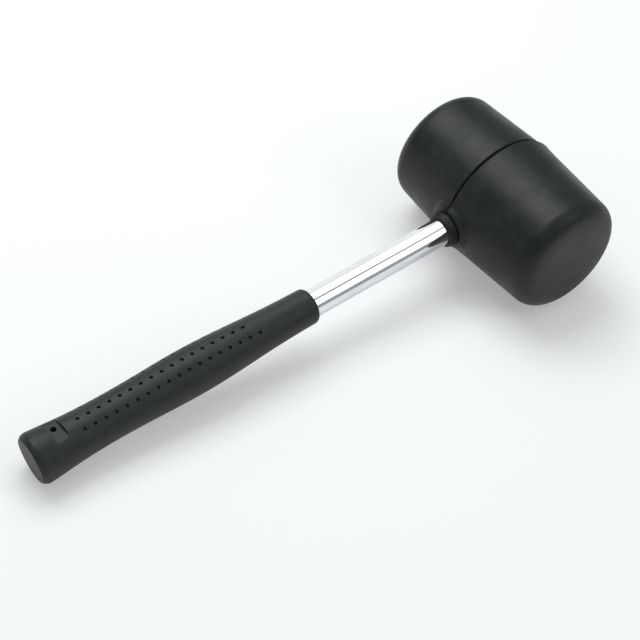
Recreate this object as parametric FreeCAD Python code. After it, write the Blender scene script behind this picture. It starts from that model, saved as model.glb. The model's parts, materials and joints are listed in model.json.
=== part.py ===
"""Rubber mallet with a tubular steel handle, lying on a flat surface.

Each piece is drawn in the tool's own frame, in millimetres: X is the striking axis and points at
the long face, Y is the handle's axis and points at the head, and the two cross at the origin. The
last step lays the tool down on z = 0, on its head and its butt, and centres it over the origin.
"""
import FreeCAD
import Part
import math
import os

# Head: one rubber moulding in two tapered halves, which meet in a step where the mould parted. The
# long half starts with a raised band, as (distance from the seam, radius) corners.
SEAM_X = -3.0
SEAM_BAND = ((0.0, 38.8), (3.2, 38.7), (7.0, 38.25))
LONG_ROOT_RADIUS = 38.6
LONG_LENGTH = 63.2
LONG_TAPER_DEG = 2.9
SHORT_ROOT_RADIUS = 37.75
SHORT_LENGTH = 54.0
SHORT_TAPER_DEG = 3.9
SHOULDER_RADIUS = 2.2
EDGE_RADIUS = 9.4
FACE_BLEND_DEG = 9.0
FACE_BLEND_RADIUS = 60.0

# Boss: a low pad of the same moulding, round the eye on the handle's side.
BOSS_TOP_Y = -39.9
BOSS_TOP_RADIUS = 12.6
BOSS_FOOT_Y = -33.0
BOSS_FOOT_RADIUS = 15.8
BOSS_EDGE_RADIUS = 1.0

# Eye collar: a rubber ring round the tube, with a lip outside the boss and a spigot in the eye.
COLLAR_FRONT_Y = -44.9
COLLAR_FRONT_RADIUS = 9.9
COLLAR_LIP_RADIUS = 10.4
COLLAR_EDGE_RADIUS = 1.2
COLLAR_SPIGOT_RADIUS = 9.5
COLLAR_SPIGOT_LENGTH = 12.0

# Handle tube: its head end is spread by the wooden plug driven into it, which locks it in the eye.
TUBE_RADIUS = 8.0
TUBE_WALL = 1.2
TUBE_BUTT_Y = -290.5
TUBE_HEAD_Y = 37.2
FLARE_LENGTH = 16.0
FLARE_GROWTH = 0.7
HEAD_PLUG_SUNK = 0.6
HEAD_PLUG_LENGTH = 34.0
HEAD_PLUG_LEAD = 1.5

# Butt plug: a hollow moulded plug with a flange, which keeps the tube's edge off the grip's end.
BUTT_PLUG_LENGTH = 14.0
BUTT_PLUG_FLANGE = 1.5
BUTT_PLUG_WALL = 1.8

# Grip: a rubber sleeve with a closed butt, waisted near the butt and swollen under the palm. Its
# outer line runs through (y, radius) stations, and the first one lies beyond the slanted butt face.
GRIP_FRONT_Y = -136.8
GRIP_FRONT_RADIUS = 10.3
GRIP_STATIONS = (
    (-325.0, 15.0),
    (-315.9, 14.8),
    (-294.0, 13.2),
    (-270.5, 12.4),
    (-248.0, 12.7),
    (-222.0, 13.4),
    (-200.0, 13.0),
    (-177.0, 11.7),
    (-156.0, 10.7),
    (GRIP_FRONT_Y, GRIP_FRONT_RADIUS),
)
FRONT_CORNER_RADIUS = 2.6

# Butt face: flat and slanted. The grip is longest on one side, an angle from +Z towards +X. The
# face is cut back a little after its corner is rounded, which leaves a crisp edge round it.
BUTT_Y = -318.0
BUTT_SLANT_DEG = 8.0
BUTT_LONG_SIDE_DEG = 35.0
BUTT_CORNER_RADIUS = 5.5
BUTT_SKIM = 1.26

# Both sides of the grip have a recess with the hang hole in it, and rows of dimples (x, count).
GRIP_TURN_DEG = -2.5
RECESS_Y = -301.6
RECESS_WIDTH = 8.6
RECESS_FLOOR_Z = 11.7
RECESS_CORNER_RADIUS = 0.8
HANG_HOLE_X = -2.3
HANG_HOLE_RADIUS = 1.6
DIMPLE_ROWS = ((-8.4, 18), (0.0, 17), (6.8, 18))
DIMPLE_FIRST_Y = -288.2
DIMPLE_PITCH = 6.62
DIMPLE_DEPTH = 1.4
DIMPLE_RADIUS = 1.05

# How far a cutting tool reaches past the material it cuts.
OVERSHOOT = 5.0

# The width of the block that stands for everything beyond a cutting plane.
BEYOND = 60.0

# Steps in which the lying slope is found. Each one leaves about a hundredth of the error before.
TILT_STEPS = 4

ORIGIN = FreeCAD.Vector(0, 0, 0)
X_AXIS = FreeCAD.Vector(1, 0, 0)
Y_AXIS = FreeCAD.Vector(0, 1, 0)


def revolved(edges, axis):
    """The solid that a closed half section makes when it turns once round an axis."""
    section = Part.Face(Part.Wire(edges))
    return section.revolve(ORIGIN, axis, 360)


def turned_on_handle_axis(corners):
    """A solid of revolution round the handle's axis, from its (y, radius) corners in order."""
    points = [FreeCAD.Vector(radius, y, 0) for y, radius in corners]
    ends = points[1:] + points[:1]
    return revolved([Part.LineSegment(a, b).toShape() for a, b in zip(points, ends)], Y_AXIS)


def circular_edges(shape, radius, y=None):
    """The circular edges of a shape that have this radius and, if it is given, this height."""
    found = []
    for edge in shape.Edges:
        is_circle = not edge.Degenerated and isinstance(edge.Curve, Part.Circle)
        if is_circle and abs(edge.Curve.Radius - radius) < 1e-6:
            if y is None or abs(edge.Curve.Center.y - y) < 1e-6:
                found.append(edge)
    return found


def head_half(root_radius, length, taper_deg, root_corners):
    """Half of the head: a flat face, a shallow blend, a round edge and a tapered side.

    The root corners are where the outline runs from the seam to the side, and point along +X.
    """
    taper = math.radians(taper_deg)
    blend = math.radians(FACE_BLEND_DEG)
    side_length = (
        length
        - FACE_BLEND_RADIUS * (1 - math.cos(blend))
        - EDGE_RADIUS * (math.cos(blend) - math.sin(taper))
    )
    side_end = FreeCAD.Vector(side_length, root_radius - side_length * math.tan(taper), 0)

    def direction(angle):
        return FreeCAD.Vector(math.cos(angle), math.sin(angle), 0)

    edge_start_angle = math.pi / 2 - taper
    edge_centre = side_end - direction(edge_start_angle) * EDGE_RADIUS
    edge_middle = edge_centre + direction((edge_start_angle + blend) / 2) * EDGE_RADIUS
    edge_end = edge_centre + direction(blend) * EDGE_RADIUS
    blend_centre = edge_end - direction(blend) * FACE_BLEND_RADIUS
    blend_middle = blend_centre + direction(blend / 2) * FACE_BLEND_RADIUS
    blend_end = blend_centre + X_AXIS * FACE_BLEND_RADIUS
    face_centre = FreeCAD.Vector(length, 0, 0)
    outline = [ORIGIN, *[FreeCAD.Vector(x, radius, 0) for x, radius in root_corners], side_end]
    return revolved(
        [
            *[Part.LineSegment(a, b).toShape() for a, b in zip(outline, outline[1:])],
            Part.Arc(side_end, edge_middle, edge_end).toShape(),
            Part.Arc(edge_end, blend_middle, blend_end).toShape(),
            Part.LineSegment(blend_end, face_centre).toShape(),
            Part.LineSegment(face_centre, ORIGIN).toShape(),
        ],
        X_AXIS,
    )


def boss():
    """The pad round the eye, with its top edge rounded. Its foot is buried in the head."""
    pad = turned_on_handle_axis(
        [(BOSS_TOP_Y, 0), (BOSS_TOP_Y, BOSS_TOP_RADIUS), (BOSS_FOOT_Y, BOSS_FOOT_RADIUS), (BOSS_FOOT_Y, 0)]
    )
    return pad.makeFillet(BOSS_EDGE_RADIUS, circular_edges(pad, BOSS_TOP_RADIUS))


def eye():
    """The hole right through the head: a counterbore for the collar, then the flared tube's shape."""
    return turned_on_handle_axis(
        [
            (BOSS_TOP_Y - OVERSHOOT, 0),
            (BOSS_TOP_Y - OVERSHOOT, COLLAR_SPIGOT_RADIUS),
            (BOSS_TOP_Y + COLLAR_SPIGOT_LENGTH, COLLAR_SPIGOT_RADIUS),
            (BOSS_TOP_Y + COLLAR_SPIGOT_LENGTH, TUBE_RADIUS),
            (TUBE_HEAD_Y - FLARE_LENGTH, TUBE_RADIUS),
            (TUBE_HEAD_Y, TUBE_RADIUS + FLARE_GROWTH),
            (TUBE_HEAD_Y + OVERSHOOT, TUBE_RADIUS + FLARE_GROWTH),
            (TUBE_HEAD_Y + OVERSHOOT, 0),
        ]
    )


def head():
    """The rubber head, with its stepped seam, its boss and its eye."""
    long_half = head_half(LONG_ROOT_RADIUS, LONG_LENGTH, LONG_TAPER_DEG, SEAM_BAND)
    long_half = long_half.makeFillet(SHOULDER_RADIUS, circular_edges(long_half, SEAM_BAND[0][1]))
    short_half = head_half(SHORT_ROOT_RADIUS, SHORT_LENGTH, SHORT_TAPER_DEG, [(0.0, SHORT_ROOT_RADIUS)])
    short_half.rotate(ORIGIN, Y_AXIS, 180)
    halves = long_half.fuse(short_half).translated(X_AXIS * SEAM_X)
    return halves.fuse(boss()).cut(eye())


def eye_collar():
    """The ring that closes the eye round the tube."""
    ring = turned_on_handle_axis(
        [
            (COLLAR_FRONT_Y, TUBE_RADIUS),
            (COLLAR_FRONT_Y, COLLAR_FRONT_RADIUS),
            (BOSS_TOP_Y, COLLAR_LIP_RADIUS),
            (BOSS_TOP_Y, COLLAR_SPIGOT_RADIUS),
            (BOSS_TOP_Y + COLLAR_SPIGOT_LENGTH, COLLAR_SPIGOT_RADIUS),
            (BOSS_TOP_Y + COLLAR_SPIGOT_LENGTH, TUBE_RADIUS),
        ]
    )
    return ring.makeFillet(COLLAR_EDGE_RADIUS, circular_edges(ring, COLLAR_FRONT_RADIUS))


def handle_tube():
    """The steel tube, from inside the grip to the crown of the head."""
    bore_radius = TUBE_RADIUS - TUBE_WALL
    return turned_on_handle_axis(
        [
            (TUBE_BUTT_Y, bore_radius),
            (TUBE_BUTT_Y, TUBE_RADIUS),
            (TUBE_HEAD_Y - FLARE_LENGTH, TUBE_RADIUS),
            (TUBE_HEAD_Y, TUBE_RADIUS + FLARE_GROWTH),
            (TUBE_HEAD_Y, bore_radius + FLARE_GROWTH),
            (TUBE_HEAD_Y - FLARE_LENGTH, bore_radius),
        ]
    )


def head_plug():
    """The hardwood plug that fills the tube's flared end and shows at the crown of the head."""
    bore_radius = TUBE_RADIUS - TUBE_WALL
    top_y = TUBE_HEAD_Y - HEAD_PLUG_SUNK
    top_radius = bore_radius + FLARE_GROWTH * (1 - HEAD_PLUG_SUNK / FLARE_LENGTH)
    foot_y = top_y - HEAD_PLUG_LENGTH
    return turned_on_handle_axis(
        [
            (top_y, 0),
            (top_y, top_radius),
            (TUBE_HEAD_Y - FLARE_LENGTH, bore_radius),
            (foot_y + HEAD_PLUG_LEAD, bore_radius),
            (foot_y, bore_radius - HEAD_PLUG_LEAD),
            (foot_y, 0),
        ]
    )


def butt_plug():
    """The plug in the tube's lower end: a flange against the end and a hollow body inside."""
    bore_radius = TUBE_RADIUS - TUBE_WALL
    flange_y = TUBE_BUTT_Y - BUTT_PLUG_FLANGE
    top_y = TUBE_BUTT_Y + BUTT_PLUG_LENGTH
    return turned_on_handle_axis(
        [
            (flange_y, 0),
            (flange_y, TUBE_RADIUS),
            (TUBE_BUTT_Y, TUBE_RADIUS),
            (TUBE_BUTT_Y, bore_radius),
            (top_y, bore_radius),
            (top_y, bore_radius - BUTT_PLUG_WALL),
            (TUBE_BUTT_Y + BUTT_PLUG_WALL, bore_radius - BUTT_PLUG_WALL),
            (TUBE_BUTT_Y + BUTT_PLUG_WALL, 0),
        ]
    )


def grip_side_curve():
    """The grip's outer line, from beyond the butt face to the front edge."""
    curve = Part.BSplineCurve()
    curve.interpolate([FreeCAD.Vector(radius, y, 0) for y, radius in GRIP_STATIONS])
    return curve


def butt_cutter(y):
    """The block beyond the slanted plane that crosses the axis at y."""
    block = Part.makeBox(BEYOND, BEYOND, BEYOND, FreeCAD.Vector(-BEYOND / 2, -BEYOND, -BEYOND / 2))
    block.rotate(ORIGIN, X_AXIS, BUTT_SLANT_DEG)
    block.rotate(ORIGIN, Y_AXIS, BUTT_LONG_SIDE_DEG)
    return block.translated(Y_AXIS * y)


def butt_face_edges(body):
    """The edges round the slanted face, which is the only flat one whose normal isn't the axis."""
    for face in body.Faces:
        if isinstance(face.Surface, Part.Plane) and abs(face.normalAt(0, 0).y) < 0.999:
            return face.Edges
    return []


def grip_body(side_curve):
    """The sleeve without the features of its sides: slanted butt, round corners and blind bore."""
    first = side_curve.StartPoint
    last = side_curve.EndPoint
    first_centre = Y_AXIS * first.y
    last_centre = Y_AXIS * last.y
    body = revolved(
        [
            Part.LineSegment(first_centre, first).toShape(),
            side_curve.toShape(),
            Part.LineSegment(last, last_centre).toShape(),
            Part.LineSegment(last_centre, first_centre).toShape(),
        ],
        Y_AXIS,
    )
    body = body.cut(butt_cutter(BUTT_Y - BUTT_SKIM))
    body = body.makeFillet(BUTT_CORNER_RADIUS, butt_face_edges(body))
    body = body.cut(butt_cutter(BUTT_Y))
    body = body.makeFillet(FRONT_CORNER_RADIUS, circular_edges(body, GRIP_FRONT_RADIUS, GRIP_FRONT_Y))
    bore_end_y = TUBE_BUTT_Y - BUTT_PLUG_FLANGE
    bore_length = GRIP_FRONT_Y + OVERSHOOT - bore_end_y
    return body.cut(Part.makeCylinder(TUBE_RADIUS, bore_length, Y_AXIS * bore_end_y, Y_AXIS))


def recess_cutter():
    """A box with a rounded floor that leaves one flat across the +Z side of the grip."""
    corner = FreeCAD.Vector(-BEYOND / 2, RECESS_Y - RECESS_WIDTH / 2, RECESS_FLOOR_Z)
    box = Part.makeBox(BEYOND, RECESS_WIDTH, BEYOND, corner)
    floor_edges = [
        edge
        for edge in box.Edges
        if abs(edge.BoundBox.ZMax - RECESS_FLOOR_Z) < 1e-6 and edge.BoundBox.XLength > RECESS_WIDTH
    ]
    return box.makeFillet(RECESS_CORNER_RADIUS, floor_edges)


def dimple_cutters(side_curve):
    """Cylinders that sink the rows of dimples into the +Z side of the grip."""
    cylinders = []
    for x, count in DIMPLE_ROWS:
        for step in range(count):
            y = DIMPLE_FIRST_Y + step * DIMPLE_PITCH
            nearest = side_curve.parameter(FreeCAD.Vector(GRIP_FRONT_RADIUS, y, 0))
            surface_radius = side_curve.value(nearest).x
            angle = math.asin(x / surface_radius)
            outward = FreeCAD.Vector(math.sin(angle), 0, math.cos(angle))
            floor = outward * (surface_radius - DIMPLE_DEPTH) + Y_AXIS * y
            cylinders.append(Part.makeCylinder(DIMPLE_RADIUS, 2 * DIMPLE_DEPTH, floor, outward))
    return cylinders


def grip():
    """The whole grip: the sleeve, the hang hole and both sides' recess and dimples."""
    side_curve = grip_side_curve()
    one_side = [recess_cutter(), *dimple_cutters(side_curve)]
    other_side = [tool.rotated(ORIGIN, Y_AXIS, 180) for tool in one_side]
    hole_start = FreeCAD.Vector(HANG_HOLE_X, RECESS_Y, -BEYOND / 2)
    hole = Part.makeCylinder(HANG_HOLE_RADIUS, BEYOND, hole_start)
    sleeve = grip_body(side_curve).cut([hole, *one_side, *other_side])
    return sleeve.rotated(ORIGIN, Y_AXIS, GRIP_TURN_DEG)


def lying_tilt_deg(head_shape, grip_shape):
    """The handle's slope when the head and the grip both touch the floor, found by small steps."""
    tilt = 0.0
    for _ in range(TILT_STEPS):
        head_low, grip_low = (
            shape.rotated(ORIGIN, X_AXIS, tilt).optimalBoundingBox(False, False).ZMin
            for shape in (head_shape, grip_shape)
        )
        tilt += math.degrees((grip_low - head_low) / -BUTT_Y)
    return tilt


def laid_down(pieces):
    """The pieces tilted to lie on z = 0, with the origin under the middle of their box."""
    tilt = lying_tilt_deg(pieces["head"], pieces["grip"])
    tilted = {name: shape.rotated(ORIGIN, X_AXIS, tilt) for name, shape in pieces.items()}
    box = Part.makeCompound(list(tilted.values())).optimalBoundingBox(False, False)
    shift = FreeCAD.Vector(-box.Center.x, -box.Center.y, -box.ZMin)
    return {name: shape.translated(shift) for name, shape in tilted.items()}


def write_parts():
    """Write one STEP file for each piece."""
    os.makedirs("parts", exist_ok=True)
    pieces = {
        "head": head(),
        "eye_collar": eye_collar(),
        "handle_tube": handle_tube(),
        "head_plug": head_plug(),
        "butt_plug": butt_plug(),
        "grip": grip(),
    }
    for name, shape in laid_down(pieces).items():
        shape.exportStep(f"parts/{name}.step")


write_parts()
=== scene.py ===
"""The looks of a rubber mallet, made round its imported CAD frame.

Each piece is worked out in the tool's own frame, in millimetres: X is the striking axis and points at
the long face, Y is the handle's axis and points at the head, and the two cross at the origin.
tool_matrix() places that frame in the row frame, which is in metres.
"""
import json
import math

import bmesh
import bpy
import numpy as np
from mathutils import Matrix, Vector


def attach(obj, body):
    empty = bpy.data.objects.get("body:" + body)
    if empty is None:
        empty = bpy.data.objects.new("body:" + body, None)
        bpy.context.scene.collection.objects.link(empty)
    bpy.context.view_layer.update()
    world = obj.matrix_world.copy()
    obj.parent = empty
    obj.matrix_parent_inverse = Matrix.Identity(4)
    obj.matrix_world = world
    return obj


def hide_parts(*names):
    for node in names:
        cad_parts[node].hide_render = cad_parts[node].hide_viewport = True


MM = 0.001
BODY = "root"

# Head: two tapered halves of one moulding, which meet in a stepped seam with a fine groove at its foot.
# The long half starts with a raised band, as (distance from the seam, radius) corners.
HEAD_ROWS = 256
SEAM_X = -3.0
SEAM_BAND = ((0.0, 38.8), (3.2, 38.7), (7.0, 38.25))
BAND_SOFTNESS = 0.35
LONG_HALF = {"root": 38.6, "length": 63.2, "taper": math.radians(2.9)}
SHORT_HALF = {"root": 37.75, "length": 54.0, "taper": math.radians(3.9)}
SHOULDER_RADIUS = 2.2
SEAM_WALL = 0.06
GROOVE_WIDTH = 1.2
GROOVE_DEPTH = 1.2
EDGE_RADIUS = 9.4
FACE_BLEND = math.radians(9.0)
FACE_BLEND_RADIUS = 60.0

# Dulled rubber along the seam, its colour darkened there as painted shade in the groove: its middle, and the
# distances from there between which it fades out.
SEAM_DULL_AND_SHADE_X = SEAM_X + 0.3
SEAM_DULL_AND_SHADE_REACH = (0.8, 1.8)
# Painted shade: the near-black colour that stands for the shade in the seam's groove.
SEAM_PAINTED_SHADE_COLOUR = (0.003, 0.004, 0.003, 1)
SEAM_DULL_ROUGHNESS = 0.5

# Boss round the eye, on the handle's side of the head.
BOSS_TOP = 39.9
BOSS_TOP_RADIUS = 12.6
BOSS_SLOPE = 2.156
BOSS_EDGE = 1.0
BOSS_FILLET = 2.0

# Eye: the window in the head's grid of loops, the strip of it that follows the seam, the radii of the
# rings round the eye on both sides of the head, and the hole's own radii and depths.
EYE_WINDOW_X = 21.0
EYE_WINDOW_ROWS = 24
EYE_WINDOW_STEPS = 8
EYE_SEAM_STRIP = (SEAM_X - 1.2, SEAM_X + 1.8)
BOSS_RINGS = (
    *(18.5, 17.6, 16.9, 16.2, 15.6, 15.0, 14.4, 13.8, 13.4),
    *(13.1, 12.8, 12.5, 12.2, 11.9, 11.5, 10.5, 9.8),
)
CROWN_RINGS = (14.0, 12.8, 11.6, 10.6)
EYE_MOUTH_RADIUS = 9.5
EYE_MOUTH_DEPTH = 12.0
CROWN_EDGE = 0.7

# Eye collar: the ring that closes the eye round the tube.
COLLAR_FRONT_Y = -44.9
COLLAR_FRONT_RADIUS = 9.9
COLLAR_LIP_RADIUS = 10.4
COLLAR_EDGE = 1.2

# Handle tube, whose head end is spread by the wooden plug.
TUBE_RADIUS = 8.0
TUBE_WALL = 1.2
TUBE_BUTT_Y = -290.5
TUBE_HEAD_Y = 37.2
FLARE_LENGTH = 16.0
FLARE_GROWTH = 0.7
TUBE_EDGE = 0.25
HEAD_PLUG_SUNK = 0.6
HEAD_PLUG_LENGTH = 34.0
HEAD_PLUG_LEAD = 1.5
HEAD_PLUG_CHAMFER = 0.5
ROUND_SEGMENTS = 160

# Grip: (y, radius) stations of its outer line. The first one lies beyond the slanted butt face.
GRIP_FRONT_Y = -136.8
GRIP_STATIONS = (
    (-325.0, 15.0),
    (-315.9, 14.8),
    (-294.0, 13.2),
    (-270.5, 12.4),
    (-248.0, 12.7),
    (-222.0, 13.4),
    (-200.0, 13.0),
    (-177.0, 11.7),
    (-156.0, 10.7),
    (GRIP_FRONT_Y, 10.3),
)
FRONT_CORNER = 2.6
BORE_END_Y = -292.0
GRIP_TURN = math.radians(-2.5)

# Butt face: flat and slanted. It is cut back by BUTT_SKIM after its corner is rounded, which leaves a
# crease round it. The slant fades out between the start of the corner and SLANT_START_Y.
BUTT_Y = -318.0
BUTT_SLANT = math.tan(math.radians(8.0))
BUTT_LONG_SIDE = math.radians(35.0)
BUTT_CORNER = 5.5
BUTT_SKIM = 1.26
BUTT_CORNER_Y = BUTT_Y + BUTT_CORNER - BUTT_SKIM
CREASE = 0.06
SLANT_START_Y = -307.0

# Both sides of the grip have a recess with the hang hole in it, and rows of dimples (x, count). The
# columns are the places of their middles in the grip's grid, counted from the middle of the side.
RECESS_Y = -301.6
RECESS_HALF_WIDTH = 4.3
RECESS_FLOOR_Z = 11.7
RECESS_CORNER = 0.8
RECESS_EDGE = 0.6
RECESS_WALL_SLOPE = 15.0
RECESS_CELL = 0.8275
RECESS_CORNER_ROWS = (3.5, 3.7, 3.9, 4.05, 4.17, 4.25, 4.3, 4.34, 4.38, 4.42, 4.46, 4.5, 4.6, 4.8)
HANG_HOLE_X = -2.3
HOLE_CELLS = 3
HOLE_COLUMNS = (-2, 3)
HOLE_RINGS = ((2.0, 0.0), (1.85, 0.0), (1.75, 0.03), (1.66, 0.12), (1.6, 0.35))
DIMPLE_ROWS = ((-8.4, 18), (0.0, 17), (6.8, 18))
DIMPLE_COLUMNS = (-8, 0, 8)
DIMPLE_FIRST_Y = -288.2
DIMPLE_PITCH = 6.62
DIMPLE_CELLS = 8
DIMPLE_CELL = DIMPLE_PITCH / DIMPLE_CELLS
DIMPLE_HALF = 2
DIMPLE_DEPTH = 1.4
DIMPLE_RADIUS = 1.05
SIDE_CELLS = 24

# Light: the slight tint of the softboxes and panels, what they are aimed at, and the key softbox.
LIGHT_COLOUR = (0.97, 1.0, 0.98)
LIGHT_TARGET = (0.0, -90.0, 10.0)
KEY = {"position": (-640, -70, 1200), "along": (1, 0, 0), "size": (0.85, 0.85), "radiance": 4.6}

# Panels for the tube to mirror, as (name, first angle, last angle, depth in metres, radiance). They
# stand at a distance from the target, of which the reach goes across the handle and the rise along it.
PANELS = (
    ("panel_right", 24, 66, 0.42, 1.65),
    ("panel_left", 81, 137, 0.42, 1.85),
    ("panel_low", 144, 182, 0.3, 0.7),
)
PANEL_DISTANCE = 1200.0
PANEL_REACH = 0.906
PANEL_RISE = 0.42

# Room: the world's colour and strength, and the floor, which glows a little to keep its shadows pale.
ROOM_COLOUR = (0.9, 0.95, 1.0, 1)
ROOM_STRENGTH = 0.42
FLOOR_RADIUS = 8.0
FLOOR_TONES = ((0.63, 0.63, 0.63, 1), (0.65, 0.65, 0.65, 1))
FLOOR_GLOW = 0.3

# Camera: where it stands and what it looks at, in the tool's frame, and its turn about its own view.
CAMERA_POSITION = (669.86, -703.79, 1017.20)
CAMERA_TARGET = (-19.4, -112.3, -48.2)
CAMERA_ROLL = math.radians(3.654)
CAMERA_LENS = 139.0

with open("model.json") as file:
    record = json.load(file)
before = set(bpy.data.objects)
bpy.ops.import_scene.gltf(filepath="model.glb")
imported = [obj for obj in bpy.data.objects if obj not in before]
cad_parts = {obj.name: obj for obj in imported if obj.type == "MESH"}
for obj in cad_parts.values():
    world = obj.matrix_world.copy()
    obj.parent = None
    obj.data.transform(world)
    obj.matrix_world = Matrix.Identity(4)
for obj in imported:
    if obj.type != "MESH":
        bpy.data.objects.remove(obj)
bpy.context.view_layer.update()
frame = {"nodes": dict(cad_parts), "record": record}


def tool_matrix():
    """The matrix that places the tool's own frame in the row frame, both in metres."""
    mounts = {mount["name"]: mount for mount in frame["record"]["mounts"]}
    clip = mounts["tube_clip"]
    face = Vector(mounts["long_striking_face"]["pos_m"])
    x_axis = Vector((1, 0, 0))
    y_axis = Vector(clip["axis"]).normalized()
    turn = Matrix((x_axis, y_axis, x_axis.cross(y_axis))).transposed().to_4x4()
    return Matrix.Translation((clip["pos_m"][0], face.y, face.z)) @ turn


TOOL = tool_matrix()


# ---------------------------------------------------------------- mesh helpers


class Skin:
    """One closed mesh, gathered as loops of points and the faces between them."""

    def __init__(self):
        self.points = []
        self.faces = []

    def add_loop(self, points):
        """Add points and return their indices."""
        start = len(self.points)
        self.points.extend(tuple(point) for point in points)
        return list(range(start, len(self.points)))

    def bridge(self, first, second, skipped=()):
        """Join two closed loops by quads, apart from the skipped places."""
        count = len(first)
        for k in range(count):
            if k not in skipped:
                after = (k + 1) % count
                self.faces.append((first[k], first[after], second[after], second[k]))

    def cap(self, loop, centre):
        """Close a loop by triangles that meet in one point."""
        tip = self.add_loop([centre])[0]
        for k, index in enumerate(loop):
            self.faces.append((index, loop[(k + 1) % len(loop)], tip))

    def piece(self, name, material, slot):
        """Make the object, smooth, with no unused points, riding on the body."""
        used, flat = np.unique(np.concatenate(self.faces), return_inverse=True)
        points = np.array(self.points)[used] * MM
        splits = np.cumsum([len(face) for face in self.faces])[:-1]
        mesh = bpy.data.meshes.new(name)
        mesh.from_pydata(points.tolist(), [], [part.tolist() for part in np.split(flat, splits)])
        shaped = bmesh.new()
        shaped.from_mesh(mesh)
        bmesh.ops.recalc_face_normals(shaped, faces=shaped.faces)
        shaped.to_mesh(mesh)
        shaped.free()
        mesh.shade_smooth()
        mesh.materials.append(material)
        obj = bpy.data.objects.new(name, mesh)
        bpy.context.scene.collection.objects.link(obj)
        obj.matrix_world = TOOL
        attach(obj, BODY)
        return obj


def arc(centre, radius, start, end, steps):
    """Points of a circular arc, both ends included. Angles are in radians."""
    angles = np.linspace(start, end, steps + 1)
    return [(centre[0] + radius * math.cos(a), centre[1] + radius * math.sin(a)) for a in angles]


def window_loop(loops, first, last, start, stop):
    """The indices round a window in a grid: loops first to last, and places start to stop in each."""
    count = len(loops[first])
    step = 1 if stop > start else -1
    return (
        [loops[k][start % count] for k in range(first, last)]
        + [loops[last][j % count] for j in range(start, stop, step)]
        + [loops[k][stop % count] for k in range(last, first, -1)]
        + [loops[first][j % count] for j in range(stop, start, -step)]
    )


def smooth_max(a, b, width):
    """The larger of two numbers, rounded where they cross."""
    near = max(width - abs(a - b), 0.0) / width
    return max(a, b) + near * near * width / 4


def turned(name, profile, material, slot, segments=ROUND_SEGMENTS):
    """A solid of revolution round the handle's axis. A profile that starts on the axis ends on it too."""
    skin = Skin()
    ring = 2 * np.pi * np.arange(segments) / segments
    hollow = profile[0][1] > 0
    body = profile if hollow else profile[1:-1]
    loops = [skin.add_loop([(r * math.sin(a), y, r * math.cos(a)) for a in ring]) for y, r in body]
    for first, second in zip(loops, loops[1:]):
        skin.bridge(first, second)
    if hollow:
        skin.bridge(loops[-1], loops[0])
    else:
        skin.cap(loops[0], (0, profile[0][0], 0))
        skin.cap(loops[-1], (0, profile[-1][0], 0))
    return skin.piece(name, material, slot)


# ---------------------------------------------------------------- material helpers


def new_material(name):
    """A material, its node tree and its Principled shader."""
    material = bpy.data.materials.new(name)
    material.use_nodes = True
    return material, material.node_tree, material.node_tree.nodes["Principled BSDF"]


def add(tree, kind, inputs=None, **settings):
    """A node with its settings. Each input is a number, a colour or a socket to link from."""
    node = tree.nodes.new(kind)
    for key, value in settings.items():
        setattr(node, key, value)
    for key, value in (inputs or {}).items():
        if isinstance(value, bpy.types.NodeSocket):
            tree.links.new(value, node.inputs[key])
        else:
            node.inputs[key].default_value = value
    return node


def millimetres(tree, stretch=(1, 1, 1)):
    """Object coordinates in millimetres, stretched along the tool's axes."""
    coordinates = add(tree, "ShaderNodeTexCoord").outputs["Object"]
    scale = [1 / (MM * factor) for factor in stretch]
    return add(tree, "ShaderNodeVectorMath", {0: coordinates, 1: scale}, operation="MULTIPLY").outputs[0]


def noise(tree, coordinates, size, detail=4.0, roughness=0.55):
    """Noise whose features are about size millimetres across, from 0 to 1."""
    inputs = {"Vector": coordinates, "Scale": 1 / size, "Detail": detail, "Roughness": roughness}
    return add(tree, "ShaderNodeTexNoise", inputs).outputs["Fac"]


def ramp(tree, value, low, high, out_low=0.0, out_high=1.0):
    """A value taken from one range to another, smoothly and without going past the ends."""
    inputs = {"Value": value, "From Min": low, "From Max": high, "To Min": out_low, "To Max": out_high}
    return add(tree, "ShaderNodeMapRange", inputs, interpolation_type="SMOOTHSTEP").outputs["Result"]


def mixed(tree, share, first, second):
    """A colour between two colours."""
    node = add(tree, "ShaderNodeMix", data_type="RGBA")
    for key, value in ((0, share), (6, first), (7, second)):
        if isinstance(value, bpy.types.NodeSocket):
            tree.links.new(value, node.inputs[key])
        else:
            node.inputs[key].default_value = value
    return node.outputs[2]


def math_node(tree, operation, first, second):
    """Arithmetic on two values."""
    return add(tree, "ShaderNodeMath", {0: first, 1: second}, operation=operation).outputs[0]


def bump(tree, shader, layers):
    """Lay bumps over each other: (height socket, depth in millimetres) from the coarsest to the finest."""
    normal = None
    for height, depth in layers:
        inputs = {"Height": height, "Distance": depth * MM, "Strength": 1.0}
        if normal is not None:
            inputs["Normal"] = normal
        normal = add(tree, "ShaderNodeBump", inputs).outputs["Normal"]
    tree.links.new(normal, shader.inputs["Normal"])


# ---------------------------------------------------------------- materials


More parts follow.
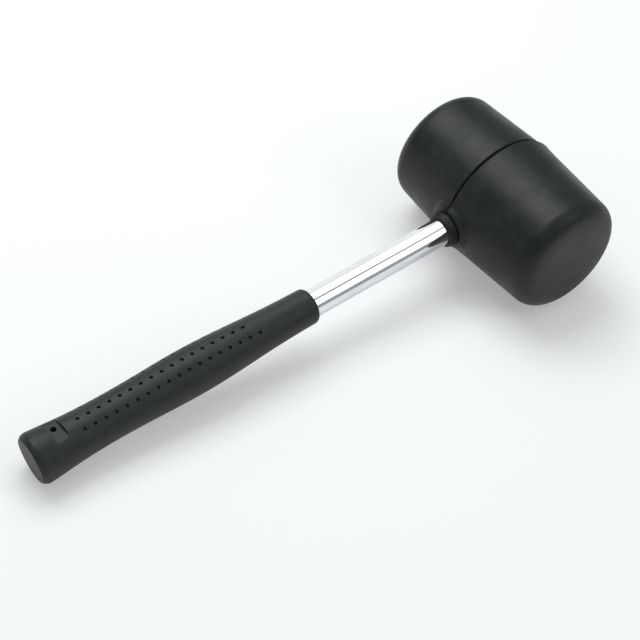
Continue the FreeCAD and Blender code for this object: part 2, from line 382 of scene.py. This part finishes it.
def rubber(name, dark, pale, gloss):
    """Moulded black rubber: a fine grain, a faint uneven bloom, and dust in the coarser pits."""
    material, tree, shader = new_material(name)
    place = millimetres(tree)
    bloom = noise(tree, place, 16.0, detail=3.0)
    patches = noise(tree, place, 5.0, detail=5.0, roughness=0.6)
    grain = noise(tree, place, 0.45, detail=3.0)
    pits = noise(tree, place, 1.6, detail=2.0)
    shade = math_node(tree, "MULTIPLY", ramp(tree, bloom, 0.35, 0.7), ramp(tree, patches, 0.3, 0.75))
    colour = mixed(tree, shade, (*dark, 1), (*pale, 1))
    dust = ramp(tree, pits, 0.64, 0.74, 0.0, 0.25)
    tree.links.new(mixed(tree, dust, colour, (0.06, 0.062, 0.058, 1)), shader.inputs["Base Color"])
    broad = ramp(tree, bloom, 0.3, 0.7, -0.05, 0.06)
    fine = ramp(tree, grain, 0.2, 0.8, -0.04, 0.04)
    uneven = math_node(tree, "ADD", broad, fine)
    tree.links.new(math_node(tree, "ADD", uneven, gloss), shader.inputs["Roughness"])
    shader.inputs["IOR"].default_value = 1.34
    bump(tree, shader, [(bloom, 0.25), (patches, 0.05), (pits, 0.02), (grain, 0.012)])
    return material


def dulled_and_painted_shade_at_seam(material):
    """Dull the head's rubber along its seam, where the mould's parting line leaves it rough, and darken its
    colour there as painted shade in the groove.
    """
    tree = material.node_tree
    shader = tree.nodes["Principled BSDF"]
    x = add(tree, "ShaderNodeSeparateXYZ", {0: millimetres(tree)}).outputs["X"]
    aside = math_node(tree, "ABSOLUTE", math_node(tree, "SUBTRACT", x, SEAM_DULL_AND_SHADE_X), 0.0)
    share = ramp(tree, aside, *SEAM_DULL_AND_SHADE_REACH, 1.0, 0.0)
    colour = shader.inputs["Base Color"].links[0].from_socket
    roughness = shader.inputs["Roughness"].links[0].from_socket
    rougher = math_node(tree, "ADD", roughness, math_node(tree, "MULTIPLY", share, SEAM_DULL_ROUGHNESS))
    # Painted shade: the colour is darkened towards near-black along the seam's groove.
    tree.links.new(mixed(tree, share, colour, SEAM_PAINTED_SHADE_COLOUR), shader.inputs["Base Color"])
    tree.links.new(rougher, shader.inputs["Roughness"])
    return material


def chrome():
    """Bright plated steel with faint polishing marks round the tube and a few fine scratches."""
    material, tree, shader = new_material("chromed_tube")
    rings = noise(tree, millimetres(tree, (8, 0.12, 8)), 1.0, detail=3.0)
    along = noise(tree, millimetres(tree, (0.4, 30, 0.4)), 1.0, detail=2.0)
    haze = noise(tree, millimetres(tree), 14.0, detail=4.0)
    colour = mixed(tree, ramp(tree, haze, 0.3, 0.75), (0.80, 0.81, 0.82, 1), (0.72, 0.73, 0.745, 1))
    tree.links.new(colour, shader.inputs["Base Color"])
    smear = ramp(tree, haze, 0.35, 0.8, 0.05, 0.11)
    marks = ramp(tree, rings, 0.5, 0.9, 0.0, 0.05)
    tree.links.new(math_node(tree, "ADD", smear, marks), shader.inputs["Roughness"])
    shader.inputs["Metallic"].default_value = 1.0
    bump(tree, shader, [(along, 0.0015), (rings, 0.0006)])
    return material


def hardwood():
    """End grain of a turned hardwood plug: growth rings off its centre, rays and open pores."""
    material, tree, shader = new_material("plug_hardwood")
    place = millimetres(tree, (1, 12, 1))
    centre = add(tree, "ShaderNodeVectorMath", {0: place, 1: (3.1, 0.0, -9.0)}, operation="ADD").outputs[0]
    inputs = {"Vector": centre, "Scale": 0.45, "Distortion": 1.6, "Detail": 3.0, "Detail Scale": 0.8}
    rings = add(tree, "ShaderNodeTexWave", inputs, wave_type="RINGS", rings_direction="Y").outputs["Fac"]
    pores = noise(tree, place, 0.28, detail=2.0)
    stain = noise(tree, place, 5.0, detail=4.0)
    wood = mixed(tree, ramp(tree, rings, 0.1, 0.9), (0.50, 0.31, 0.15, 1), (0.32, 0.17, 0.07, 1))
    wood = mixed(tree, ramp(tree, stain, 0.35, 0.75, 0.0, 0.5), wood, (0.22, 0.12, 0.055, 1))
    wood = mixed(tree, ramp(tree, pores, 0.6, 0.68), wood, (0.09, 0.045, 0.02, 1))
    tree.links.new(wood, shader.inputs["Base Color"])
    tree.links.new(ramp(tree, rings, 0.0, 1.0, 0.55, 0.72), shader.inputs["Roughness"])
    bump(tree, shader, [(rings, 0.08), (pores, 0.05)])
    return material


def moulded_plastic():
    """Dark moulded plastic with a fine sparked texture."""
    material, tree, shader = new_material("plug_plastic")
    place = millimetres(tree)
    spark = noise(tree, place, 0.3, detail=2.0)
    flow = noise(tree, place, 6.0, detail=3.0)
    colour = mixed(tree, ramp(tree, flow, 0.3, 0.7), (0.045, 0.045, 0.046, 1), (0.06, 0.06, 0.062, 1))
    tree.links.new(colour, shader.inputs["Base Color"])
    tree.links.new(ramp(tree, spark, 0.2, 0.8, 0.42, 0.58), shader.inputs["Roughness"])
    bump(tree, shader, [(spark, 0.02)])
    return material


# ---------------------------------------------------------------- head


def half_profile(half):
    """(distance from the seam, radius) from the end of a half's side to the centre of its face."""
    taper = half["taper"]
    side_length = (
        half["length"]
        - FACE_BLEND_RADIUS * (1 - math.cos(FACE_BLEND))
        - EDGE_RADIUS * (math.cos(FACE_BLEND) - math.sin(taper))
    )
    side_end = (side_length, half["root"] - side_length * math.tan(taper))
    edge_start = math.pi / 2 - taper
    edge_centre = (
        side_end[0] - EDGE_RADIUS * math.cos(edge_start),
        side_end[1] - EDGE_RADIUS * math.sin(edge_start),
    )
    edge = arc(edge_centre, EDGE_RADIUS, edge_start, FACE_BLEND, 16)
    blend_centre = (
        half["length"] - FACE_BLEND_RADIUS,
        edge[-1][1] - FACE_BLEND_RADIUS * math.sin(FACE_BLEND),
    )
    blend = arc(blend_centre, FACE_BLEND_RADIUS, FACE_BLEND, 0, 8)
    flat_radius = blend[-1][1]
    face = [(half["length"], flat_radius * share) for share in (0.8, 0.6, 0.4, 0.2)]
    return edge + blend[1:] + face


def side_radius(half, x):
    """The radius of a half's side at x, with the long half's band."""
    distance = abs(x - SEAM_X)
    plain = half["root"] - distance * math.tan(half["taper"])
    if half is SHORT_HALF or distance > 2 * SEAM_BAND[-1][0]:
        return plain
    (_, edge), (flat_end, crest), (foot, low) = SEAM_BAND
    flat = edge + (crest - edge) * distance / flat_end
    flank = crest + (low - crest) * (distance - flat_end) / (foot - flat_end)
    band = -smooth_max(-flat, -flank, BAND_SOFTNESS)
    return smooth_max(plain, band, BAND_SOFTNESS)


def seam_profile():
    """(x, radius) across the seam: a fine groove, the step's wall and the long half's round shoulder."""
    groove = [
        (SEAM_X - GROOVE_WIDTH * (1 - share), -GROOVE_DEPTH * (1 - math.cos(math.pi * share)) / 2)
        for share in (0, 0.2, 0.4, 0.6, 0.8, 1)
    ]
    groove = [(x, side_radius(SHORT_HALF, x) + dip) for x, dip in groove]
    centre = (SEAM_X + SEAM_WALL + SHOULDER_RADIUS, SEAM_BAND[0][1] - SHOULDER_RADIUS)
    shoulder = arc(centre, SHOULDER_RADIUS, math.pi, math.pi / 2, 12)
    return groove + shoulder


def head_profile():
    """(x, radius) of the head's loops, from the short face to the long face."""
    seam = seam_profile()
    short_end = half_profile(SHORT_HALF)
    long_end = half_profile(LONG_HALF)
    band_end = SEAM_X + 2 * SEAM_BAND[-1][0]
    short_side = np.linspace(SEAM_X - short_end[0][0], seam[0][0], 44)[1:-1]
    long_side = [
        *np.linspace(seam[-1][0], band_end, 24)[1:],
        *np.linspace(band_end, SEAM_X + long_end[0][0], 40)[1:-1],
    ]
    return (
        [(SEAM_X - x, r) for x, r in reversed(short_end)]
        + [(x, side_radius(SHORT_HALF, x)) for x in short_side]
        + seam
        + [(x, side_radius(LONG_HALF, x)) for x in long_side]
        + [(SEAM_X + x, r) for x, r in long_end]
    )


def eye_circle(window, radius):
    """The window's (x, z) points moved to a circle. Points near the seam keep their x."""
    half = radius / math.sqrt(2)
    edge_x = (-EYE_WINDOW_X, *EYE_SEAM_STRIP, EYE_WINDOW_X)
    circle_x = (-half, *EYE_SEAM_STRIP, half)
    edge_z = max(abs(z) for _, z in window)
    far_left = min(x for x, _ in window)
    far_right = max(x for x, _ in window)
    moved = []
    for x, z in window:
        on_side = x in (far_left, far_right)
        if on_side:
            new_z = z / edge_z * half
            moved.append((math.copysign(math.sqrt(radius**2 - new_z**2), x), new_z))
        else:
            new_x = float(np.interp(x, edge_x, circle_x))
            moved.append((new_x, math.copysign(math.sqrt(radius**2 - new_x**2), z)))
    return moved


def eye_rings(window, radii):
    """Rings of (x, z) from the window's edge to the first circle, and then the other circles."""
    outer = eye_circle(window, radii[0])
    rings = []
    for k in range(1, EYE_WINDOW_STEPS):
        share = k / EYE_WINDOW_STEPS
        ring = []
        for (x, z), (u, v) in zip(window, outer):
            ring.append(((1 - share) * x + share * u, (1 - share) * z + share * v))
        rings.append(ring)
    return rings + [eye_circle(window, radius) for radius in radii]


def boss_height(distance):
    """How far the boss reaches towards the handle at a distance from its axis."""
    over = distance - BOSS_TOP_RADIUS
    flank = BOSS_TOP - over * BOSS_SLOPE
    return -smooth_max(-BOSS_TOP, -flank, 2 * BOSS_EDGE)


def window_points(skin, edge):
    """The (x, z) points of a window's edge."""
    return [(skin.points[index][0], skin.points[index][2]) for index in edge]


def eye_patch(skin, edge, radii, height):
    """Narrow a window in the head's skin to the eye, and return the last loop."""
    window = window_points(skin, edge)
    for ring in eye_rings(window, radii):
        inner = skin.add_loop([(x, height(x, z), z) for x, z in ring])
        skin.bridge(edge, inner)
        edge = inner
    return edge


def eye_walls(skin, window, mouth, crown, side_height):
    """The eye's own wall, from its mouth in the boss to its rounded edge at the crown."""
    foot_y = -BOSS_TOP + EYE_MOUTH_DEPTH
    flare = TUBE_RADIUS + FLARE_GROWTH
    walls = [
        (EYE_MOUTH_RADIUS, -BOSS_TOP + 0.3),
        (EYE_MOUTH_RADIUS, foot_y),
        (TUBE_RADIUS, foot_y),
        (TUBE_RADIUS, TUBE_HEAD_Y - FLARE_LENGTH),
        (flare, TUBE_HEAD_Y - 2.0),
    ]
    rings = [[(x, y, z) for x, z in eye_circle(window, radius)] for radius, y in walls]
    for turn in (0, 30, 60):
        a = math.radians(turn)
        circle = eye_circle(window, flare + CROWN_EDGE * (1 - math.cos(a)))
        sunk = CROWN_EDGE * (1 - math.sin(a))
        rings.append([(x, side_height(x, z) - sunk, z) for x, z in circle])
    edge = mouth
    for ring in rings:
        inner = skin.add_loop(ring)
        skin.bridge(edge, inner)
        edge = inner
    skin.bridge(edge, crown)


def head():
    """The head as one closed mesh, with its seam, its boss and the eye right through it."""
    skin = Skin()
    profile = head_profile()
    angles = 2 * np.pi * np.arange(HEAD_ROWS) / HEAD_ROWS
    loops = [skin.add_loop([(x, -r * math.cos(a), r * math.sin(a)) for a in angles]) for x, r in profile]
    inside = [k for k, (x, _) in enumerate(profile) if abs(x) < EYE_WINDOW_X]
    first, last = inside[0], inside[-1]
    half_turn = HEAD_ROWS // 2
    window_rows = range(-EYE_WINDOW_ROWS, EYE_WINDOW_ROWS)
    skipped = {(j + offset) % HEAD_ROWS for j in window_rows for offset in (0, half_turn)}
    for k in range(len(loops) - 1):
        skin.bridge(loops[k], loops[k + 1], skipped if first <= k < last else ())
    skin.cap(loops[0], (profile[0][0], 0, 0))
    skin.cap(loops[-1], (profile[-1][0], 0, 0))

    side_x, side_r = zip(*profile[first : last + 1])

    def side_height(x, z):
        return math.sqrt(np.interp(x, side_x, side_r) ** 2 - z**2)

    def handle_side(x, z):
        return -smooth_max(side_height(x, z), boss_height(math.hypot(x, z)), BOSS_FILLET)

    near = window_loop(loops, first, last, -EYE_WINDOW_ROWS, EYE_WINDOW_ROWS)
    far = window_loop(loops, first, last, half_turn + EYE_WINDOW_ROWS, half_turn - EYE_WINDOW_ROWS)
    mouth = eye_patch(skin, near, BOSS_RINGS, handle_side)
    crown_edge = TUBE_RADIUS + FLARE_GROWTH + CROWN_EDGE
    crown = eye_patch(skin, far, (*CROWN_RINGS, crown_edge), side_height)
    eye_walls(skin, window_points(skin, near), mouth, crown, side_height)
    piece = skin.piece("rubber_head", MATERIALS["head"], "head_rubber")
    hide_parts("head")
    return piece


# ---------------------------------------------------------------- tube, plug and collar


def handle_tube():
    """The tube: straight, then spread a little at the head, with softened ends."""
    bore = TUBE_RADIUS - TUBE_WALL
    flare = [(TUBE_HEAD_Y - FLARE_LENGTH * (1 - s), FLARE_GROWTH * s) for s in (0, 0.25, 0.5, 0.75, 1)]
    straight = np.linspace(TUBE_BUTT_Y + TUBE_EDGE, TUBE_HEAD_Y - FLARE_LENGTH, 60)
    outside = [(y, TUBE_RADIUS) for y in straight[:-1]] + [(y, TUBE_RADIUS + g) for y, g in flare[:-1]]
    top = TUBE_HEAD_Y
    wide = TUBE_RADIUS + FLARE_GROWTH
    mouth = [
        (top - TUBE_EDGE, wide),
        (top - TUBE_EDGE * 0.3, wide - TUBE_EDGE * 0.3),
        (top, wide - TUBE_EDGE),
        (top, wide - TUBE_WALL + TUBE_EDGE),
        (top - TUBE_EDGE, wide - TUBE_WALL),
    ]
    inside = [(y, bore + g) for y, g in reversed(flare[:-1])] + [(TUBE_BUTT_Y + TUBE_EDGE, bore)]
    butt = [(TUBE_BUTT_Y, bore + TUBE_EDGE), (TUBE_BUTT_Y, TUBE_RADIUS - TUBE_EDGE)]
    profile = outside + mouth + inside + butt
    piece = turned("chromed_handle_tube", profile, MATERIALS["tube"], "chromed_tube")
    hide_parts("handle_tube")
    return piece


def eye_collar():
    """The rubber ring that closes the eye, with its front edge rounded off."""
    edge_centre = (COLLAR_FRONT_Y + COLLAR_EDGE, COLLAR_FRONT_RADIUS - COLLAR_EDGE)
    front = arc(edge_centre, COLLAR_EDGE, math.pi, math.pi / 2, 8)
    lip_y = -BOSS_TOP
    foot_y = lip_y + EYE_MOUTH_DEPTH
    profile = [
        (COLLAR_FRONT_Y + 0.5, TUBE_RADIUS),
        (COLLAR_FRONT_Y + 0.12, TUBE_RADIUS + 0.12),
        *front,
        (lip_y - 1.4, COLLAR_LIP_RADIUS - 0.15),
        (lip_y - 0.5, COLLAR_LIP_RADIUS),
        (lip_y - 0.15, COLLAR_LIP_RADIUS - 0.12),
        (lip_y, COLLAR_LIP_RADIUS - 0.4),
        (lip_y, EYE_MOUTH_RADIUS),
        (foot_y, EYE_MOUTH_RADIUS),
        (foot_y, TUBE_RADIUS),
    ]
    piece = turned("rubber_eye_collar", profile, MATERIALS["collar"], "collar_rubber")
    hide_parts("eye_collar")
    return piece


def head_plug():
    """The wooden plug, with a chamfered top and a tapered lead."""
    bore = TUBE_RADIUS - TUBE_WALL
    top_y = TUBE_HEAD_Y - HEAD_PLUG_SUNK
    top_radius = bore + FLARE_GROWTH * (1 - HEAD_PLUG_SUNK / FLARE_LENGTH)
    foot_y = top_y - HEAD_PLUG_LENGTH
    face = [(top_y, top_radius * share) for share in (0.2, 0.4, 0.6, 0.8)]
    profile = [
        (top_y, 0),
        *face,
        (top_y, top_radius - HEAD_PLUG_CHAMFER),
        (top_y - HEAD_PLUG_CHAMFER * 0.3, top_radius - HEAD_PLUG_CHAMFER * 0.3),
        (top_y - HEAD_PLUG_CHAMFER, top_radius),
        (TUBE_HEAD_Y - FLARE_LENGTH, bore),
        (foot_y + HEAD_PLUG_LEAD, bore),
        (foot_y, bore - HEAD_PLUG_LEAD),
        (foot_y, 0),
    ]
    piece = turned("hardwood_head_plug", profile, MATERIALS["wood"], "plug_hardwood")
    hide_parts("head_plug")
    return piece


# ---------------------------------------------------------------- grip


def natural_spline(stations):
    """A smooth curve through (y, radius) stations, as a function of y."""
    y, r = np.array(stations).T
    gap = np.diff(y)
    slope = np.diff(r) / gap
    count = len(y)
    system = np.eye(count)
    right = np.zeros(count)
    for k in range(1, count - 1):
        system[k, k - 1 : k + 2] = gap[k - 1], 2 * (gap[k - 1] + gap[k]), gap[k]
        right[k] = 6 * (slope[k] - slope[k - 1])
    bend = np.linalg.solve(system, right)

    def value(at):
        k = int(np.clip(np.searchsorted(y, at) - 1, 0, count - 2))
        ahead, behind = y[k + 1] - at, at - y[k]
        cubic = (bend[k] * ahead**3 + bend[k + 1] * behind**3) / (6 * gap[k])
        left = (r[k] / gap[k] - bend[k] * gap[k] / 6) * ahead
        return float(cubic + left + (r[k + 1] / gap[k] - bend[k + 1] * gap[k] / 6) * behind)

    return value


def recess_clip(y):
    """The height that the recess leaves at y, before its edges are rounded."""
    across = abs(y - RECESS_Y)
    corner_start = RECESS_HALF_WIDTH - RECESS_CORNER
    if across <= corner_start:
        return RECESS_FLOOR_Z
    if across <= RECESS_HALF_WIDTH:
        rise = RECESS_CORNER - math.sqrt(RECESS_CORNER**2 - (across - corner_start) ** 2)
        return RECESS_FLOOR_Z + rise
    return RECESS_FLOOR_Z + RECESS_CORNER + (across - RECESS_HALF_WIDTH) * RECESS_WALL_SLOPE


def clipped(x, y, z):
    """A point of the plain sleeve, lowered into the recess where it lies over it."""
    if abs(y - RECESS_Y) > 1.4 * RECESS_HALF_WIDTH:
        return x, y, z
    height = -smooth_max(-abs(z), -recess_clip(y), RECESS_EDGE)
    return x, y, math.copysign(height, z)


def slanted_y(x, y, z):
    """Where a point of a straight sleeve goes along it, so that the butt face is slanted."""
    fade = (SLANT_START_Y - y) / (SLANT_START_Y - BUTT_CORNER_Y)
    reach = x * math.sin(BUTT_LONG_SIDE) + z * math.cos(BUTT_LONG_SIDE)
    return y - BUTT_SLANT * min(max(fade, 0.0), 1.0) * reach


def columns(outer):
    """Distances from the middle of a side to the grid lines, as far as just past the outer dimples."""
    between = np.linspace(2 * DIMPLE_CELL, outer - 2 * DIMPLE_CELL, 5)
    steps = [outer + step * DIMPLE_CELL for step in (-1, 0, 1, 2)]
    return [0, DIMPLE_CELL, *between, *steps]


def ring_angles(radius):
    """Angles at which the grid lines cross a loop of this radius, the same in both half turns."""
    plus = [math.asin(x / radius) for x in columns(DIMPLE_ROWS[-1][0])]
    minus = [math.asin(x / radius) for x in columns(-DIMPLE_ROWS[0][0])]
    side = list(np.linspace(plus[-1], math.pi - minus[-1], SIDE_CELLS + 1))[1:-1]
    half = plus + side + [math.pi - a for a in reversed(minus[1:])]
    return half + [a + math.pi for a in half]


def grip_rows():
    """The y of the grip's loops on its side, from the butt's corner to the front corner."""
    flat = [RECESS_CELL * k for k in range(HOLE_CELLS + 1)]
    half = sorted({*flat, *RECESS_CORNER_ROWS})
    recess = sorted({RECESS_Y + side * across for across in half for side in (-1, 1)})
    first = DIMPLE_FIRST_Y - DIMPLE_HALF * DIMPLE_CELL
    most = max(count for _, count in DIMPLE_ROWS)
    dimpled = [first + DIMPLE_CELL * k for k in range(DIMPLE_CELLS * (most - 1) + 2 * DIMPLE_HALF + 1)]
    return [
        *np.linspace(BUTT_CORNER_Y, recess[0], 12)[:-1],
        *recess,
        *np.linspace(recess[-1], first, 10)[1:-1],
        *dimpled,
        *np.linspace(dimpled[-1], GRIP_FRONT_Y - FRONT_CORNER, 40)[1:],
    ]


def grip_windows(rows, count):
    """The windows in the grip's grid, as (first loop, last loop, first place, last place)."""
    row_at = {round(float(y), 3): k for k, y in enumerate(rows)}
    dimples = []
    for (_, number), column in zip(DIMPLE_ROWS, DIMPLE_COLUMNS):
        for k in range(number):
            row = row_at[round(DIMPLE_FIRST_Y + k * DIMPLE_PITCH, 3)]
            for middle in (column, count // 2 + column):
                window = (row - DIMPLE_HALF, row + DIMPLE_HALF, middle - DIMPLE_HALF, middle + DIMPLE_HALF)
                dimples.append(window)
    hole = row_at[round(RECESS_Y, 3)]
    holes = [
        (hole - HOLE_CELLS, hole + HOLE_CELLS, middle - HOLE_CELLS, middle + HOLE_CELLS)
        for middle in (HOLE_COLUMNS[0], count // 2 + HOLE_COLUMNS[1])
    ]
    return dimples, holes


def hole_mouth(skin, edge):
    """Round the hang hole's mouth in the recess's floor, and return the last loop."""
    side = math.copysign(1, skin.points[edge[0]][2])
    turns = [math.radians(225 - 360 * k / len(edge)) for k in range(len(edge))]
    for radius, sunk in HOLE_RINGS:
        level = side * (RECESS_FLOOR_Z - sunk)
        inner = skin.add_loop(
            [(HANG_HOLE_X + radius * math.cos(a), RECESS_Y + radius * math.sin(a), level) for a in turns]
        )
        skin.bridge(edge, inner)
        edge = inner
    return edge


def dimple(skin, edge, middle, radius_here):
    """Sink a round dimple into a window of the grip's grid. Its middle is (angle, y)."""
    middle_angle, middle_y = middle
    turns = []
    for x, y, z in (skin.points[index] for index in edge):
        beside = (math.atan2(x, z) - middle_angle + math.pi) % (2 * math.pi) - math.pi
        turns.append(math.atan2(y - middle_y, beside * radius_here))
    rings = (
        (DIMPLE_RADIUS + 0.28, 0.0),
        (DIMPLE_RADIUS + 0.1, 0.02),
        (DIMPLE_RADIUS, 0.1),
        (DIMPLE_RADIUS - 0.03, 0.25),
        (DIMPLE_RADIUS - 0.05, DIMPLE_DEPTH - 0.2),
        (DIMPLE_RADIUS - 0.15, DIMPLE_DEPTH - 0.04),
        (DIMPLE_RADIUS - 0.35, DIMPLE_DEPTH),
    )
    for radius, sunk in rings:
        out = radius_here - sunk
        points = []
        for turn in turns:
            angle = middle_angle + radius * math.cos(turn) / radius_here
            points.append((out * math.sin(angle), middle_y + radius * math.sin(turn), out * math.cos(angle)))
        inner = skin.add_loop(points)
        skin.bridge(edge, inner)
        edge = inner
    out = radius_here - DIMPLE_DEPTH
    skin.cap(edge, (out * math.sin(middle_angle), middle_y, out * math.cos(middle_angle)))


def butt_end(skin, edge, angles, radius_at):
    """Close the butt: a round corner, cut short by the crease round the flat, slanted face."""
    depth = BUTT_CORNER - BUTT_SKIM
    last_turn = math.asin(depth / BUTT_CORNER)
    turns = [*np.linspace(0, last_turn, 9)[1:-1], last_turn - CREASE / BUTT_CORNER, last_turn]
    outline = [(BUTT_CORNER * (1 - math.cos(a)), BUTT_CORNER * math.sin(a)) for a in turns]
    rim = outline[-1][0]
    outline += [(rim + inward, depth) for inward in (CREASE, 1.5, 3.0, 5.0, 7.0, 9.0)]
    for inward, deeper in outline:
        points = []
        for a in angles:
            wide = radius_at(BUTT_Y)
            side_y = slanted_y(wide * math.sin(a), BUTT_CORNER_Y, wide * math.cos(a))
            radius = radius_at(side_y) - inward
            x, z = radius * math.sin(a), radius * math.cos(a)
            points.append((x, slanted_y(x, BUTT_CORNER_Y, z) - deeper, z))
        inner = skin.add_loop(points)
        skin.bridge(edge, inner)
        edge = inner
    skin.cap(edge, (0, BUTT_Y, 0))


def front_end(skin, edge, angles, front_radius):
    """Close the front: a round corner to the tube, and the blind bore behind it."""
    centre_y = GRIP_FRONT_Y - FRONT_CORNER
    centre_radius = front_radius - FRONT_CORNER
    last_turn = math.acos((TUBE_RADIUS - centre_radius) / FRONT_CORNER)
    outline = arc((centre_y, centre_radius), FRONT_CORNER, math.pi / 2, math.pi / 2 - last_turn, 10)[1:]
    for y, radius in [*outline, (GRIP_FRONT_Y - 0.6, TUBE_RADIUS), (BORE_END_Y, TUBE_RADIUS)]:
        inner = skin.add_loop([(radius * math.sin(a), y, radius * math.cos(a)) for a in angles])
        skin.bridge(edge, inner)
        edge = inner
    skin.cap(edge, (0, BORE_END_Y, 0))


def grip():
    """The grip as one closed mesh: sleeve, recesses, hang hole, dimples, butt face and blind bore."""
    skin = Skin()
    radius_at = natural_spline(GRIP_STATIONS)
    rows = grip_rows()
    angles = [ring_angles(radius_at(y)) for y in rows]
    loops = []
    for y, around in zip(rows, angles):
        points = []
        for a in around:
            plain = radius_at(y)
            at = slanted_y(plain * math.sin(a), y, plain * math.cos(a))
            radius = radius_at(at)
            points.append(clipped(radius * math.sin(a), at, radius * math.cos(a)))
        loops.append(skin.add_loop(points))
    count = len(loops[0])
    dimples, holes = grip_windows(rows, count)
    skipped = {}
    for first, last, start, stop in dimples + holes:
        for k in range(first, last):
            skipped.setdefault(k, set()).update(j % count for j in range(start, stop))
    for k in range(len(loops) - 1):
        skin.bridge(loops[k], loops[k + 1], skipped.get(k, ()))
    for first, last, start, stop in dimples:
        row = first + DIMPLE_HALF
        middle = (angles[row][(start + DIMPLE_HALF) % count], rows[row])
        dimple(skin, window_loop(loops, first, last, start, stop), middle, radius_at(rows[row]))
    near, far = holes
    near_mouth = hole_mouth(skin, window_loop(loops, *near))
    far_mouth = hole_mouth(skin, window_loop(loops, far[0], far[1], far[3], far[2]))
    skin.bridge(near_mouth, far_mouth)
    butt_end(skin, loops[0], angles[0], radius_at)
    front_end(skin, loops[-1], angles[-1], radius_at(rows[-1]))
    turn = np.array(Matrix.Rotation(GRIP_TURN, 3, "Y"))
    skin.points = [tuple(turn @ np.array(point)) for point in skin.points]
    piece = skin.piece("rubber_grip", MATERIALS["grip"], "grip_rubber")
    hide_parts("grip")
    return piece


# ---------------------------------------------------------------- stage


def floor():
    """A plain pale floor."""
    mesh = bpy.data.meshes.new("floor")
    shaped = bmesh.new()
    bmesh.ops.create_circle(shaped, cap_ends=True, radius=FLOOR_RADIUS, segments=96)
    shaped.to_mesh(mesh)
    shaped.free()
    material, tree, shader = new_material("floor")
    colour = mixed(tree, noise(tree, millimetres(tree), 400.0), *FLOOR_TONES)
    tree.links.new(colour, shader.inputs["Base Color"])
    shader.inputs["Roughness"].default_value = 0.7
    shader.inputs["Emission Color"].default_value = (1, 1, 1, 1)
    shader.inputs["Emission Strength"].default_value = FLOOR_GLOW
    mesh.materials.append(material)
    obj = bpy.data.objects.new("floor", mesh)
    bpy.context.scene.collection.objects.link(obj)


def camera():
    """The camera at the photograph's place, turned a little about its own view."""
    position, target = Vector(CAMERA_POSITION) * MM, Vector(CAMERA_TARGET) * MM
    turn = (target - position).to_track_quat("-Z", "Y").to_matrix().to_4x4()
    place = Matrix.Translation(position) @ turn @ Matrix.Rotation(CAMERA_ROLL, 4, "Z")
    data = bpy.data.cameras.new("camera")
    data.lens = CAMERA_LENS
    data.clip_start, data.clip_end = 0.05, 40
    obj = bpy.data.objects.new("camera", data)
    bpy.context.scene.collection.objects.link(obj)
    obj.matrix_world = TOOL @ place
    bpy.context.scene.camera = obj


def softbox(name, position, along, size, radiance):
    """A rectangular area light aimed at the tube, with its first side along a direction of the tool."""
    data = bpy.data.lights.new(name, "AREA")
    data.shape = "RECTANGLE"
    data.size, data.size_y = size
    data.energy = radiance * math.pi * size[0] * size[1]
    data.color = LIGHT_COLOUR
    back = (Vector(position) - Vector(LIGHT_TARGET)).normalized()
    across = back.cross(Vector(along)).normalized()
    turn = Matrix((across.cross(back), across, back)).transposed().to_4x4()
    obj = bpy.data.objects.new(name, data)
    bpy.context.scene.collection.objects.link(obj)
    obj.matrix_world = TOOL @ Matrix.Translation(Vector(position) * MM) @ turn


def panel(name, first, last, depth, radiance):
    """A long panel that the tube mirrors from one angle to another, round the handle from +X towards +Z."""
    middle = math.radians((first + last) / 2)
    out = Vector((PANEL_REACH * math.cos(middle), PANEL_RISE, PANEL_REACH * math.sin(middle)))
    along = (-math.sin(middle), 0, math.cos(middle))
    length = 2 * PANEL_DISTANCE * MM * math.tan(math.radians(last - first) / 2) * PANEL_REACH
    softbox(name, Vector(LIGHT_TARGET) + out * PANEL_DISTANCE, along, (length, depth), radiance)


def lights():
    """A key softbox on the short half's side, long panels for the tube to mirror, and a dim room."""
    softbox("key", **KEY)
    for name, first, last, depth, radiance in PANELS:
        panel(name, first, last, depth, radiance)
    world = bpy.data.worlds.new("room")
    world.use_nodes = True
    background = world.node_tree.nodes["Background"]
    background.inputs["Color"].default_value = ROOM_COLOUR
    background.inputs["Strength"].default_value = ROOM_STRENGTH
    bpy.context.scene.world = world
    bpy.context.scene.view_settings.view_transform = "Standard"


MATERIALS = {
    "head": dulled_and_painted_shade_at_seam(rubber("head_rubber", (0.009, 0.012, 0.010), (0.018, 0.023, 0.019), 0.42)),
    "collar": rubber("collar_rubber", (0.008, 0.010, 0.008), (0.013, 0.015, 0.012), 0.52),
    "grip": rubber("grip_rubber", (0.018, 0.022, 0.019), (0.029, 0.034, 0.030), 0.46),
    "tube": chrome(),
    "wood": hardwood(),
    "plastic": moulded_plastic(),
}

camera()
floor()
lights()
head()
eye_collar()
handle_tube()
head_plug()
grip()
butt_plug = frame["nodes"]["butt_plug"]
butt_plug.data.materials.clear()
butt_plug.data.materials.append(MATERIALS["plastic"])
